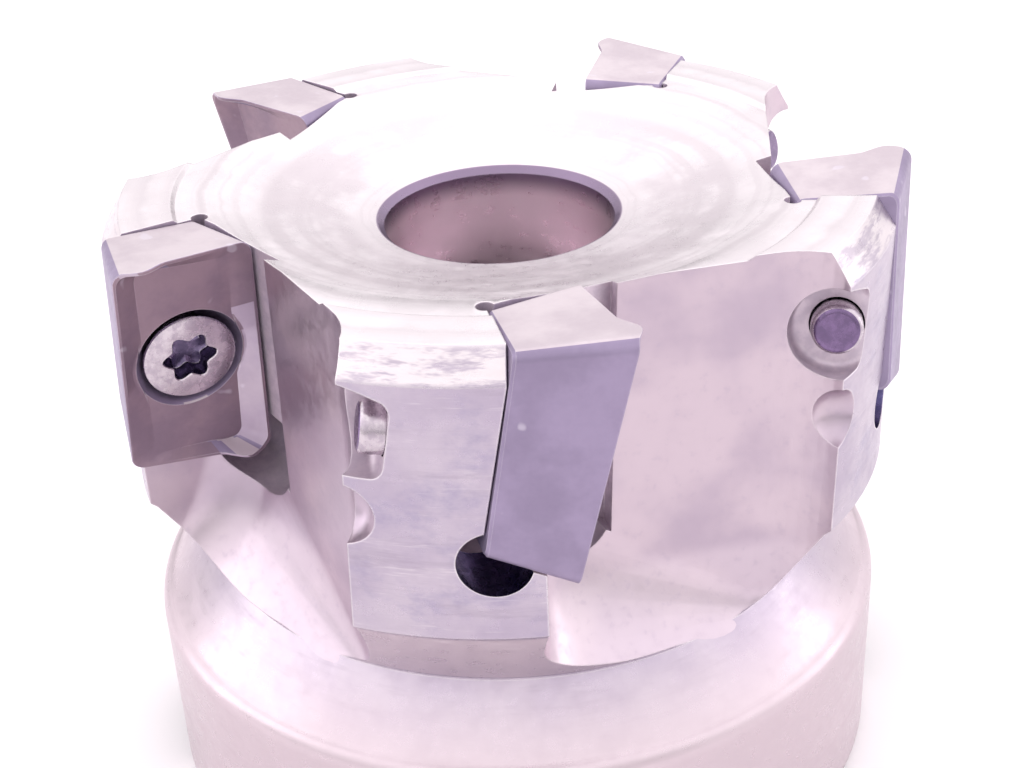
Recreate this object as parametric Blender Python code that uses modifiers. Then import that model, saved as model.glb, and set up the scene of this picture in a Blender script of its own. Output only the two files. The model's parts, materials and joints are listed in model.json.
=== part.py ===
# Shell-type indexable face mill, 50 mm cutting diameter: a turned and milled steel body with
# five pockets, five carbide inserts and the five screws that hold them.
# Metres, +Z up. The origin is the centre of the hub's back face, the tool axis is Z and the
# cutting end is at the top. Seen from the cutting end the tool turns counter-clockwise.

import bmesh
import bpy
from math import atan2, cos, pi, radians, sin, sqrt, tan
from mathutils import Matrix, Vector

MM = 0.001

# Whole tool
CUTTING_RADIUS = 25.0 * MM
HEIGHT = 40.0 * MM
TEETH = 5
FIRST_TOOTH_AZIMUTH = radians(279.0)
FIT = 0.25 * MM                    # clearance between pieces that touch on the real tool
OVERCUT = 4.0 * MM                 # how far a cutter reaches past the metal it removes
TURNING_STEPS = 96

# Front of the body
FRONT_DROP = 0.5 * MM              # front face below the plane of the insert tips
LAND_CLEARANCE = 1.1 * MM          # lands inside the circle of the cutting noses
LAND_RADIUS = CUTTING_RADIUS - LAND_CLEARANCE
FRONT_CHAMFER_WIDTH = 1.2 * MM
FRONT_CHAMFER_HEIGHT = 1.8 * MM
FACE_RING_WIDTH = 3.3 * MM         # flat ring inside the chamfer
FACE_RING_RADIUS = LAND_RADIUS - FRONT_CHAMFER_WIDTH - FACE_RING_WIDTH
FACE_STEP = 0.25 * MM
SUNK_RING_WIDTH = 2.0 * MM
DISH_RADIUS = FACE_RING_RADIUS - SUNK_RING_WIDTH
DISH_RIM_WIDTH = 2.5 * MM
DISH_RING_RADIUS = DISH_RADIUS - DISH_RIM_WIDTH
DISH_RING_DROP = 1.1 * MM
BORE_RIM_DROP = 3.35 * MM          # front rim of the bore below the insert tips
BORE_RIM_CHAMFER = 0.4 * MM

# Bore: cap-screw counterbore in front, screw hole, arbor bore behind
COUNTERBORE_RADIUS = 7.1 * MM
COUNTERBORE_DEPTH = 10.0 * MM
SCREW_HOLE_RADIUS = 4.5 * MM
ARBOR_BORE_RADIUS = 8.0 * MM
ARBOR_BORE_DEPTH = 19.0 * MM
ARBOR_BORE_CHAMFER = 0.6 * MM

# Hub and the groove between hub and head
HUB_RADIUS = 24.0 * MM
HUB_BACK_CHAMFER = 0.8 * MM
SHOULDER_WIDTH = 0.7 * MM
LEDGE_EDGE_RADIUS = HUB_RADIUS - SHOULDER_WIDTH
LEDGE_EDGE_HEIGHT = 12.7 * MM
SHOULDER_DROP = 1.05 * MM          # height of the rounded shoulder between ledge and hub side
GROOVE_DEPTH = 4.0 * MM            # from the lands down to the groove
GROOVE_RADIUS = LAND_RADIUS - GROOVE_DEPTH
GROOVE_FLOOR_HEIGHT = 16.2 * MM
UNDERSIDE_HEIGHT = 16.75 * MM
LAND_BOTTOM_HEIGHT = 21.9 * MM
LAND_BOTTOM_CHAMFER = 0.4 * MM

# Drive slot across the back face
DRIVE_SLOT_WIDTH = 8.4 * MM
DRIVE_SLOT_DEPTH = 5.6 * MM

# Insert
INSERT_WIDTH = 8.7 * MM
INSERT_LENGTH = 14.7 * MM
INSERT_SKEW = 0.55 * MM            # how far the inner side sits lower than the outer side
INSERT_THICKNESS = 5.9 * MM        # at the two cutting noses
EDGE_DROP = 0.95 * MM              # fall of each cutting edge from its nose to its far end
NOSE_RADIUS = 0.8 * MM
RELIEF = tan(radians(13.0))
CHIP_LIP = 0.6 * MM                # raised lip of each end edge, near its nose
CHIP_LIP_OFFSET = 2.7 * MM         # from the middle of the end edge towards the nose
CHIP_LIP_HALF_WIDTH = 1.6 * MM
CHIP_LIP_LENGTH = 1.4 * MM
SIDE_FACET_WIDTH = 1.5 * MM        # slope between each long cutting edge and the flat middle
END_FACET_WIDTH = 0.8 * MM
ISLAND_RIM = 0.15 * MM             # least flat left round the countersink
ISLAND_DROP = 0.95 * MM            # flat middle of the rake face below the noses
RADIAL_RAKE = radians(3.8)
AXIAL_RAKE = radians(9.9)

# Insert screw and its holes
SCREW_LEAN = tan(radians(4.7))     # the screw's end lies further in than its head
HEAD_RADIUS = 2.75 * MM
HEAD_CLEARANCE = 0.45 * MM
HEAD_RIM = 0.15 * MM
HEAD_CONE = radians(30.0)
SHANK_RADIUS = 1.45 * MM
SCREW_LENGTH = 11.6 * MM
SCREW_END_CHAMFER = 0.45 * MM
RECESS_RADIUS = 1.6 * MM
RECESS_DEPTH = 1.2 * MM
RECESS_LOBES = 6
RECESS_WAVE = 0.22 * MM
RECESS_TAPER = 0.15 * MM
EXIT_RADIUS = 2.15 * MM
EXIT_FLOOR = 10.2 * MM             # from the screw's top to the floor of the recess at its end
EXIT_MOUTH_RADIUS = 2.7 * MM
EXIT_MOUTH_START = 11.2 * MM
EXIT_MOUTH_END = 12.2 * MM
EXIT_REACH = 20.0 * MM
SCALLOP_RADIUS = 1.9 * MM          # ball-ended cut below the exit, from the outside inwards
SCALLOP_BELOW_TIP = 12.8 * MM
SCALLOP_BEHIND_TIP = 13.2 * MM
SCALLOP_REACH = 5.0 * MM

# Pocket
POCKET_DRAFT = tan(radians(14.0))
POCKET_OPENING = 1.2 * MM          # room in front of the insert's noses
POCKET_OPENING_SLOPE = 0.16        # growth of that room for each unit down the insert
CORNER_HOLE_RADIUS = 2.0 * MM      # hole from the land along the foot of the end wall
CORNER_HOLE_BELOW_END = 0.3 * MM
CORNER_HOLE_ABOVE_SEAT = 0.8 * MM
CORNER_GROOVE_RADIUS = 0.5 * MM
CORNER_RELIEF_RADIUS = 2.4 * MM    # ball-ended relief for the insert's inner lower corner
CORNER_RELIEF_BESIDE = 0.4 * MM
CORNER_RELIEF_BELOW = 0.1 * MM
CORNER_RELIEF_REACH = 0.8 * MM

# Chip gullet, in the frame of its tooth: depth inwards from the tip, width ahead of it
GULLET_DEPTH = 8.3 * MM
GULLET_BACK = 4.9 * MM             # near wall below the insert, behind the tip
GULLET_NEAR_RADIUS = 3.0 * MM
GULLET_FAR_START = 10.0 * MM
GULLET_FAR_RADIUS = 5.0 * MM
GULLET_CLOSING = 0.035             # far wall draws in by this much for each unit downwards
FLOOR_HEIGHT = 15.1 * MM           # lowest line of the floor, which flares outwards
FLOOR_RADIUS = 12.5 * MM           # radius of the flare at the near wall
FLOOR_TIGHTENING = 0.68            # fall of that radius for each unit ahead
LEAST_FLOOR_RADIUS = 2.5 * MM

ARC_STEPS = 5


def arc_points(centre, radius, start, end, steps):
    """Points of an arc from one angle to another, both ends included."""
    angles = [start + (end - start) * i / steps for i in range(steps + 1)]
    return [(centre[0] + radius * cos(a), centre[1] + radius * sin(a)) for a in angles]


def clear_scene():
    for item in list(bpy.data.objects):
        bpy.data.objects.remove(item, do_unlink=True)


def new_collection(name):
    collection = bpy.data.collections.new(name)
    bpy.context.scene.collection.children.link(collection)
    return collection


def new_material(name, colour, roughness, metallic):
    material = bpy.data.materials.new(name)
    material.use_nodes = True
    shader = material.node_tree.nodes["Principled BSDF"]
    shader.inputs["Base Color"].default_value = (*colour, 1.0)
    shader.inputs["Roughness"].default_value = roughness
    shader.inputs["Metallic"].default_value = metallic
    return material


def add_object(name, mesh, collection, matrix, material=None):
    item = bpy.data.objects.new(name, mesh)
    collection.objects.link(item)
    item.matrix_world = matrix
    if material is not None and not mesh.materials:
        mesh.materials.append(material)
    return item


def add_cutter(name, mesh, collection, matrix):
    item = add_object(name, mesh, collection, matrix)
    item.hide_render = True
    item.display_type = 'WIRE'
    return item


def smooth(mesh, angle=radians(30.0)):
    mesh.shade_smooth()
    mesh.set_sharp_from_angle(angle=angle)


def loft_mesh(name, rings, closed_round=False):
    """A closed solid through rings with the same number of points.
    The ends are capped, or joined to each other when closed_round is set."""
    mesh = bpy.data.meshes.new(name)
    bm = bmesh.new()
    loops = [[bm.verts.new(point) for point in ring] for ring in rings]
    count = len(rings[0])
    pairs = list(zip(loops, loops[1:]))
    if closed_round:
        pairs.append((loops[-1], loops[0]))
    for lower, upper in pairs:
        for i in range(count):
            j = (i + 1) % count
            bm.faces.new((lower[i], lower[j], upper[j], upper[i]))
    if not closed_round:
        bm.faces.new(list(reversed(loops[0])))
        bm.faces.new(loops[-1])
    bmesh.ops.recalc_face_normals(bm, faces=bm.faces)
    bm.to_mesh(mesh)
    bm.free()
    return mesh


def turned_mesh(name, profile, steps, closed):
    """A profile of (radius, height) points, turned round Z with a Screw modifier."""
    mesh = bpy.data.meshes.new(name)
    edges = [(i, i + 1) for i in range(len(profile) - 1)]
    if closed:
        edges.append((len(profile) - 1, 0))
    mesh.from_pydata([(r, 0.0, z) for r, z in profile], edges, [])
    carrier = bpy.data.objects.new(name + "_profile", mesh)
    bpy.context.scene.collection.objects.link(carrier)
    screw = carrier.modifiers.new("Turn", 'SCREW')
    screw.steps = steps
    screw.render_steps = steps
    screw.use_merge_vertices = True
    screw.merge_threshold = 0.00001
    graph = bpy.context.evaluated_depsgraph_get()
    turned = bpy.data.meshes.new_from_object(carrier.evaluated_get(graph))
    turned.name = name
    bpy.data.objects.remove(carrier, do_unlink=True)
    bm = bmesh.new()
    bm.from_mesh(turned)
    bmesh.ops.remove_doubles(bm, verts=bm.verts, dist=0.000001)
    bmesh.ops.recalc_face_normals(bm, faces=bm.faces)
    bm.to_mesh(turned)
    bm.free()
    return turned


def cylinder_mesh(name, radius, low, high, sides):
    """A cylinder along Z between two heights."""
    mesh = bpy.data.meshes.new(name)
    bm = bmesh.new()
    place = Matrix.Translation((0.0, 0.0, (low + high) / 2))
    bmesh.ops.create_cone(bm, cap_ends=True, segments=sides, radius1=radius, radius2=radius,
                          depth=high - low, matrix=place)
    bm.to_mesh(mesh)
    bm.free()
    return mesh


def frame_matrix(origin, x_axis, y_axis, z_axis):
    rotation = Matrix((x_axis, y_axis, z_axis)).transposed().to_4x4()
    return Matrix.Translation(origin) @ rotation


# Frames of a tooth
def tooth_azimuth(index):
    return FIRST_TOOTH_AZIMUTH + 2 * pi * index / TEETH


def tooth_axes(index):
    """The tip of a tooth, the direction outwards along its insert and the cutting direction."""
    azimuth = tooth_azimuth(index)
    tip = Vector((CUTTING_RADIUS * cos(azimuth), CUTTING_RADIUS * sin(azimuth), HEIGHT))
    outward = Vector((cos(azimuth - RADIAL_RAKE), sin(azimuth - RADIAL_RAKE), 0.0))
    forward = Vector((-outward.y, outward.x, 0.0))
    return tip, outward, forward


def insert_frame(index):
    """X inwards, Y up along the cutting edge, Z out of the rake face, origin at the nose."""
    tip, outward, forward = tooth_axes(index)
    up = Vector((0.0, 0.0, cos(AXIAL_RAKE))) + forward * sin(AXIAL_RAKE)
    return frame_matrix(tip, -outward, up, up.cross(outward))


def gullet_frame(index):
    """X outwards, Y in the cutting direction, Z along the tool axis from the back face."""
    tip, outward, forward = tooth_axes(index)
    return frame_matrix(Vector((tip.x, tip.y, 0.0)), outward, forward, Vector((0.0, 0.0, 1.0)))


def insert_centre():
    return (INSERT_WIDTH / 2, -(INSERT_LENGTH + INSERT_SKEW) / 2)


def screw_frame(index):
    """Z along the screw, out of its head; the origin is the middle of the head's top."""
    x, y = insert_centre()
    axis = Vector((-SCREW_LEAN, 0.0, 1.0))
    lean = Vector((0.0, 0.0, 1.0)).rotation_difference(axis).to_matrix().to_4x4()
    return insert_frame(index) @ Matrix.Translation((x, y, -ISLAND_DROP)) @ lean


# Body
def body_profile():
    """Half section of the turned blank, from the arbor bore's mouth up the bore, over the
    front face and down the outside."""
    front = HEIGHT - FRONT_DROP
    rim = HEIGHT - BORE_RIM_DROP
    points = [
        (ARBOR_BORE_RADIUS + ARBOR_BORE_CHAMFER, 0.0),
        (ARBOR_BORE_RADIUS, ARBOR_BORE_CHAMFER),
        (ARBOR_BORE_RADIUS, ARBOR_BORE_DEPTH),
        (SCREW_HOLE_RADIUS, ARBOR_BORE_DEPTH),
        (SCREW_HOLE_RADIUS, rim - COUNTERBORE_DEPTH),
        (COUNTERBORE_RADIUS, rim - COUNTERBORE_DEPTH),
        (COUNTERBORE_RADIUS, rim - BORE_RIM_CHAMFER),
        (COUNTERBORE_RADIUS + BORE_RIM_CHAMFER, rim),
        (DISH_RING_RADIUS, front - DISH_RING_DROP),
        (DISH_RADIUS, front - FACE_STEP),
        (FACE_RING_RADIUS, front - FACE_STEP),
        (FACE_RING_RADIUS + FACE_STEP, front),
        (LAND_RADIUS - FRONT_CHAMFER_WIDTH, front),
        (LAND_RADIUS, front - FRONT_CHAMFER_HEIGHT),
        (LAND_RADIUS, LAND_BOTTOM_HEIGHT + LAND_BOTTOM_CHAMFER),
        (LAND_RADIUS - LAND_BOTTOM_CHAMFER, LAND_BOTTOM_HEIGHT),
        (GROOVE_RADIUS + LAND_BOTTOM_CHAMFER, UNDERSIDE_HEIGHT),
        (GROOVE_RADIUS, UNDERSIDE_HEIGHT - LAND_BOTTOM_CHAMFER),
        (GROOVE_RADIUS, GROOVE_FLOOR_HEIGHT),
        (LEDGE_EDGE_RADIUS, LEDGE_EDGE_HEIGHT),
    ]
    for i in range(1, ARC_STEPS):
        a = i / ARC_STEPS * pi / 2
        points.append((LEDGE_EDGE_RADIUS + SHOULDER_WIDTH * sin(a),
                       LEDGE_EDGE_HEIGHT - SHOULDER_DROP * (1 - cos(a))))
    points += [
        (HUB_RADIUS, LEDGE_EDGE_HEIGHT - SHOULDER_DROP),
        (HUB_RADIUS, HUB_BACK_CHAMFER),
        (HUB_RADIUS - HUB_BACK_CHAMFER, 0.0),
    ]
    return points


def pocket_feet():
    """Where the pocket's seat lies, the foot of its inner wall and the foot of its end wall."""
    seat = -INSERT_THICKNESS - FIT
    inner = INSERT_WIDTH - RELIEF * INSERT_THICKNESS + FIT
    end = -INSERT_LENGTH - INSERT_SKEW / 2 + RELIEF * INSERT_THICKNESS - FIT
    return seat, inner, end


def pocket_cutter():
    """Room for one insert: a flat seat, an inner wall and an end wall with draft."""
    seat, inner, end = pocket_feet()
    slope = INSERT_SKEW / INSERT_WIDTH
    rings = []
    for opening, growth in ((seat, 0.0), (POCKET_OPENING, POCKET_OPENING_SLOPE)):
        low = opening - growth * end
        high = opening - growth * OVERCUT
        low_spread = POCKET_DRAFT * (low - seat)
        low_x = inner + low_spread
        high_x = inner + POCKET_DRAFT * (high - seat)
        inner_y = end - low_spread - slope * (low_x - INSERT_WIDTH / 2)
        outer_y = end - low_spread + slope * (OVERCUT + INSERT_WIDTH / 2)
        rings.append([
            (low_x, inner_y, low),
            (-OVERCUT, outer_y, low),
            (-OVERCUT, OVERCUT, high),
            (high_x, OVERCUT, high),
        ])
    return loft_mesh("pocket_cutter", rings)


def gullet_outline():
    """Section of the gullet in its frame: x outwards, y ahead of the tip."""
    outside = OVERCUT * 2
    near = -GULLET_BACK
    points = [(outside, near)]
    points += arc_points((-GULLET_DEPTH + GULLET_NEAR_RADIUS, near + GULLET_NEAR_RADIUS),
                         GULLET_NEAR_RADIUS, -pi / 2, -pi, ARC_STEPS)
    centre = (-GULLET_DEPTH + GULLET_FAR_RADIUS, GULLET_FAR_START)
    points += arc_points(centre, GULLET_FAR_RADIUS, pi, pi / 2, ARC_STEPS)
    points.append((outside, GULLET_FAR_START + GULLET_FAR_RADIUS))
    return points


def gullet_cutter():
    """The gullet's section swept down the tool, then outwards round a floor whose bend gets
    tighter towards the far wall."""
    top = HEIGHT + OVERCUT
    outline = gullet_outline()
    rings = [[(x, y, top) for x, y in outline]]
    bend_steps = ARC_STEPS + 1
    for i in range(bend_steps + 1):
        a = i / bend_steps * pi / 2
        ring = []
        for x, y in outline:
            ahead = y + GULLET_BACK
            bend = max(LEAST_FLOOR_RADIUS, FLOOR_RADIUS - FLOOR_TIGHTENING * ahead)
            height = FLOOR_HEIGHT + bend * (1 - sin(a))
            drawn = y - GULLET_CLOSING * (top - height) * ahead / (GULLET_FAR_START + GULLET_BACK)
            ring.append((x + bend * (1 - cos(a)), drawn, height))
        rings.append(ring)
    return loft_mesh("gullet_cutter", rings)


def screw_exit_cutter():
    """Recess at the screw's end: a flat floor, a short wall and a conical mouth."""
    profile = [
        (0.0, -EXIT_FLOOR),
        (EXIT_RADIUS, -EXIT_FLOOR),
        (EXIT_RADIUS, -EXIT_MOUTH_START),
        (EXIT_MOUTH_RADIUS, -EXIT_MOUTH_END),
        (EXIT_MOUTH_RADIUS, -EXIT_REACH),
        (0.0, -EXIT_REACH),
    ]
    return turned_mesh("screw_exit_cutter", profile, 28, False)


def scallop_cutter():
    """A ball-ended cutter along Z, its ball's centre at the origin."""
    profile = arc_points((0.0, 0.0), SCALLOP_RADIUS, pi / 2, 0.0, ARC_STEPS)
    profile[0] = (0.0, SCALLOP_RADIUS)
    reach = SCALLOP_REACH + OVERCUT
    profile += [(SCALLOP_RADIUS, -reach), (0.0, -reach)]
    return turned_mesh("scallop_cutter", profile, 24, False)


def corner_relief_cutter():
    """A ball-ended cutter that stands on the seat, along Z."""
    seat = pocket_feet()[0]
    profile = arc_points((0.0, CORNER_RELIEF_REACH), CORNER_RELIEF_RADIUS, pi / 2, 0.0, ARC_STEPS)
    profile[0] = (0.0, CORNER_RELIEF_REACH + CORNER_RELIEF_RADIUS)
    floor = seat - CORNER_GROOVE_RADIUS
    profile += [(CORNER_RELIEF_RADIUS, floor), (0.0, floor)]
    return turned_mesh("corner_relief_cutter", profile, 28, False)


def build_cutters(collection):
    pocket = pocket_cutter()
    gullet = gullet_cutter()
    seat, inner, end = pocket_feet()
    corner_hole = cylinder_mesh("corner_hole_cutter", CORNER_HOLE_RADIUS, -OVERCUT, inner + FIT, 28)
    corner_groove = cylinder_mesh("corner_groove_cutter", CORNER_GROOVE_RADIUS, end, OVERCUT, 12)
    screw_hole = cylinder_mesh("screw_hole_cutter", SHANK_RADIUS + FIT, -EXIT_FLOOR - FIT, 0.0, 20)
    screw_exit = screw_exit_cutter()
    scallop = scallop_cutter()
    corner_relief = corner_relief_cutter()
    along_x = Matrix.Rotation(pi / 2, 4, 'Y')
    along_y = Matrix.Rotation(-pi / 2, 4, 'X')
    for index in range(TEETH):
        tooth = insert_frame(index)
        screw = screw_frame(index)
        number = str(index + 1)
        hole_place = Matrix.Translation((0.0, end - CORNER_HOLE_BELOW_END,
                                         seat + CORNER_HOLE_ABOVE_SEAT))
        groove_place = Matrix.Translation((inner, 0.0, seat))
        scallop_place = Matrix.Translation((SCALLOP_REACH, -SCALLOP_BELOW_TIP, -SCALLOP_BEHIND_TIP))
        relief_place = Matrix.Translation((INSERT_WIDTH - CORNER_RELIEF_BESIDE,
                                           -INSERT_LENGTH - INSERT_SKEW - CORNER_RELIEF_BELOW, 0.0))
        add_cutter("pocket_cutter_" + number, pocket, collection, tooth)
        add_cutter("gullet_cutter_" + number, gullet, collection, gullet_frame(index))
        add_cutter("corner_hole_cutter_" + number, corner_hole, collection,
                   tooth @ hole_place @ along_x)
        add_cutter("corner_groove_cutter_" + number, corner_groove, collection,
                   tooth @ groove_place @ along_y)
        add_cutter("corner_relief_cutter_" + number, corner_relief, collection,
                   tooth @ relief_place)
        add_cutter("screw_hole_cutter_" + number, screw_hole, collection, screw)
        add_cutter("screw_exit_cutter_" + number, screw_exit, collection, screw)
        add_cutter("scallop_cutter_" + number, scallop, collection,
                   tooth @ scallop_place @ along_x)
    slot = bpy.data.meshes.new("drive_slot_cutter")
    bm = bmesh.new()
    size = Matrix.Diagonal((2 * (HUB_RADIUS + OVERCUT), DRIVE_SLOT_WIDTH, 2 * DRIVE_SLOT_DEPTH, 1.0))
    bmesh.ops.create_cube(bm, size=1.0, matrix=size)
    bm.to_mesh(slot)
    bm.free()
    add_cutter("drive_slot_cutter", slot, collection, Matrix.Identity(4))


def build_body(parts, cutters, material):
    blank = turned_mesh("body_blank", body_profile(), TURNING_STEPS, True)
    carrier = bpy.data.objects.new("body_blank", blank)
    parts.objects.link(carrier)
    cut = carrier.modifiers.new("Milled", 'BOOLEAN')
    cut.operation = 'DIFFERENCE'
    cut.solver = 'EXACT'
    cut.operand_type = 'COLLECTION'
    cut.collection = cutters
    graph = bpy.context.evaluated_depsgraph_get()
    mesh = bpy.data.meshes.new_from_object(carrier.evaluated_get(graph))
    mesh.name = "body"
    bpy.data.objects.remove(carrier, do_unlink=True)
    smooth(mesh)
    return add_object("body", mesh, parts, Matrix.Identity(4), material)


# Insert
def insert_outline():
    """Outline of the rake face round its middle, with its nose radii, as (u, v) points:
    u outwards, v up."""
    half_width = INSERT_WIDTH / 2
    half_length = INSERT_LENGTH / 2
    sides = ((1, 1, 0), (-1, 1, 1), (-1, -1, 2), (1, -1, 3))
    corner_steps = 3
    length_steps = 5
    points = []
    for index, (sx, sy, quarter) in enumerate(sides):
        centre = (sx * (half_width - NOSE_RADIUS), sy * (half_length - NOSE_RADIUS))
        start = quarter * pi / 2
        points += arc_points(centre, NOSE_RADIUS, start, start + pi / 2, corner_steps)
        next_x, next_y = sides[(index + 1) % 4][:2]
        start_point = points[-1]
        if quarter % 2 == 0:
            end_point = (next_x * (half_width - NOSE_RADIUS), sy * half_length)
        else:
            end_point = (sx * half_width, next_y * (half_length - NOSE_RADIUS))
        for i in range(1, length_steps):
            share = i / length_steps
            points.append((start_point[0] + (end_point[0] - start_point[0]) * share,
                           start_point[1] + (end_point[1] - start_point[1]) * share))
    return points


def edge_height(u, v):
    """Height of the cutting edge below the noses, with the lip beside each nose."""
    twist = (u / (INSERT_WIDTH / 2)) * (v / (INSERT_LENGTH / 2))
    height = -EDGE_DROP / 2 * (1 - twist)
    along = u if v > 0 else -u
    near_end = max(0.0, 1 - (INSERT_LENGTH / 2 - abs(v)) / CHIP_LIP_LENGTH)
    lip = max(0.0, 1 - abs(along - CHIP_LIP_OFFSET) / CHIP_LIP_HALF_WIDTH)
    return height + CHIP_LIP * near_end * lip * lip * (3 - 2 * lip)


def insert_point(u, v, side_inset, end_inset, height):
    """A point of the insert, moved in from its long sides and ends and skewed into its
    parallelogram."""
    scale_u = (INSERT_WIDTH / 2 - side_inset) / (INSERT_WIDTH / 2)
    scale_v = (INSERT_LENGTH / 2 - end_inset) / (INSERT_LENGTH / 2)
    x, y = insert_centre()
    outward = u * scale_u
    return (x - outward, y + v * scale_v + INSERT_SKEW * outward / INSERT_WIDTH, height)


def hole_ring(outline, radius, height):
    """A ring of the screw hole, which leans like the screw, at a height above the seat."""
    depth = -ISLAND_DROP - height
    x = insert_centre()[0] + SCREW_LEAN * depth
    y = insert_centre()[1]
    ring = []
    for u, v in outline:
        a = atan2(v * INSERT_WIDTH, u * INSERT_LENGTH)
        ring.append((x - radius * cos(a), y + radius * sin(a), height))
    return ring


def clear_of_hole(point, radius):
    """Moves a point away from the insert's middle where it lies closer than the radius."""
    centre = insert_centre()
    x = point[0] - centre[0]
    y = point[1] - centre[1]
    stretch = max(1.0, radius / sqrt(x * x + y * y))
    return (centre[0] + x * stretch, centre[1] + y * stretch, point[2])


def insert_mesh():
    """One insert: flanks with relief, a wavy cutting edge, a sunk middle and a countersink."""
    outline = insert_outline()
    seat = -INSERT_THICKNESS
    countersink_radius = HEAD_RADIUS + HEAD_CLEARANCE
    hole_radius = SHANK_RADIUS + FIT
    cone_depth = (countersink_radius - hole_radius) / tan(HEAD_CONE)
    flank = []
    edge = []
    middle = []
    for u, v in outline:
        height = edge_height(u, v)
        foot_inset = RELIEF * INSERT_THICKNESS
        inset = -RELIEF * height
        flank.append(insert_point(u, v, foot_inset, foot_inset, seat))
        edge.append(insert_point(u, v, inset, inset, height))
        point = insert_point(u, v, inset + SIDE_FACET_WIDTH, inset + END_FACET_WIDTH, -ISLAND_DROP)
        middle.append(clear_of_hole(point, countersink_radius + ISLAND_RIM))
    rings = [
        hole_ring(outline, hole_radius, seat),
        flank,
        edge,
        middle,
        hole_ring(outline, countersink_radius, -ISLAND_DROP),
        hole_ring(outline, hole_radius, -ISLAND_DROP - cone_depth),
    ]
    mesh = loft_mesh("insert", rings, closed_round=True)
    smooth(mesh)
    return mesh


# Screw
def screw_profile():
    cone_depth = (HEAD_RADIUS - SHANK_RADIUS) / tan(HEAD_CONE)
    return [
        (0.0, 0.0),
        (HEAD_RADIUS - HEAD_RIM, 0.0),
        (HEAD_RADIUS, -HEAD_RIM),
        (SHANK_RADIUS, -HEAD_RIM - cone_depth),
        (SHANK_RADIUS, -SCREW_LENGTH + SCREW_END_CHAMFER),
        (SHANK_RADIUS - SCREW_END_CHAMFER, -SCREW_LENGTH),
        (0.0, -SCREW_LENGTH),
    ]


def recess_cutter():
    """Six-lobed driver recess, tapering a little towards its floor."""
    count = RECESS_LOBES * 4
    rings = []
    for height, taper in ((-RECESS_DEPTH, RECESS_TAPER), (HEAD_RIM, 0.0)):
        ring = []
        for i in range(count):
            a = 2 * pi * i / count
            radius = RECESS_RADIUS - taper - RECESS_WAVE * (1 - cos(RECESS_LOBES * a))
            ring.append((radius * cos(a), radius * sin(a), height))
        rings.append(ring)
    return loft_mesh("recess_cutter", rings)


def screw_mesh(cutters):
    """One insert screw, made at the origin along Z and used by all five."""
    blank = turned_mesh("insert_screw_blank", screw_profile(), 24, False)
    carrier = bpy.data.objects.new("insert_screw_blank", blank)
    cutters.objects.link(carrier)
    tool = bpy.data.objects.new("recess_cutter", recess_cutter())
    cutters.objects.link(tool)
    cut = carrier.modifiers.new("Recess", 'BOOLEAN')
    cut.operation = 'DIFFERENCE'
    cut.solver = 'EXACT'
    cut.object = tool
    graph = bpy.context.evaluated_depsgraph_get()
    mesh = bpy.data.meshes.new_from_object(carrier.evaluated_get(graph))
    mesh.name = "insert_screw"
    bpy.data.objects.remove(carrier, do_unlink=True)
    bpy.data.objects.remove(tool, do_unlink=True)
    smooth(mesh)
    return mesh


def main():
    clear_scene()
    parts = new_collection("face_mill")
    cutters = new_collection("cutters")
    steel = new_material("satin_nickel_steel", (0.74, 0.71, 0.72), 0.33, 1.0)
    carbide = new_material("coated_carbide", (0.20, 0.15, 0.21), 0.38, 0.6)
    screw_steel = new_material("screw_steel", (0.62, 0.58, 0.60), 0.28, 1.0)
    screw = screw_mesh(cutters)
    insert = insert_mesh()
    build_cutters(cutters)
    build_body(parts, cutters, steel)
    for index in range(TEETH):
        number = str(index + 1)
        add_object("insert_" + number, insert, parts, insert_frame(index), carbide)
        add_object("insert_screw_" + number, screw, parts, screw_frame(index), screw_steel)


main()
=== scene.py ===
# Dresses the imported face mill: the body, inserts and insert screws rebuilt with finer steps,
# rounded edges and threads over their CAD solids, metal finishes made from nodes, a pale floor,
# soft light and the photograph's viewing angle. Metres, +Z up, the tool's axis is Z.

import json
from math import atan2, cos, pi, radians, sin, sqrt, tan

import bmesh
import bpy
from mathutils import Matrix, Vector

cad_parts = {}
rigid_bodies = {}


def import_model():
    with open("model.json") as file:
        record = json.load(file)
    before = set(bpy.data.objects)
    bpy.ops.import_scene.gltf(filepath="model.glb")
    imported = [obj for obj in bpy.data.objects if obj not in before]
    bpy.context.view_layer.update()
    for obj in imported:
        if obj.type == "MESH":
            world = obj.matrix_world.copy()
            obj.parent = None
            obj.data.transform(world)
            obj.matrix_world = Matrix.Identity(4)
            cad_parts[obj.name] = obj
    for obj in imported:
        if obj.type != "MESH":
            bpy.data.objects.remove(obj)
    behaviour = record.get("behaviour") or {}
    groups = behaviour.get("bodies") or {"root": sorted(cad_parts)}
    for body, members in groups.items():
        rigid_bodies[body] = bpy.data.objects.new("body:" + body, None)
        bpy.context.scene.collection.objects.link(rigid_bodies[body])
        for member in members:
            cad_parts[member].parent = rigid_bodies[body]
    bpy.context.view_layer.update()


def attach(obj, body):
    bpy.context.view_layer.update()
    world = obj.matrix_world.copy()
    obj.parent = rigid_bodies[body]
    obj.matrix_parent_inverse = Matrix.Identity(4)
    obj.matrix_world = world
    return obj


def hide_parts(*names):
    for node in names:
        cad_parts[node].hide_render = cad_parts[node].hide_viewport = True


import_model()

MM = 0.001

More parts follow.
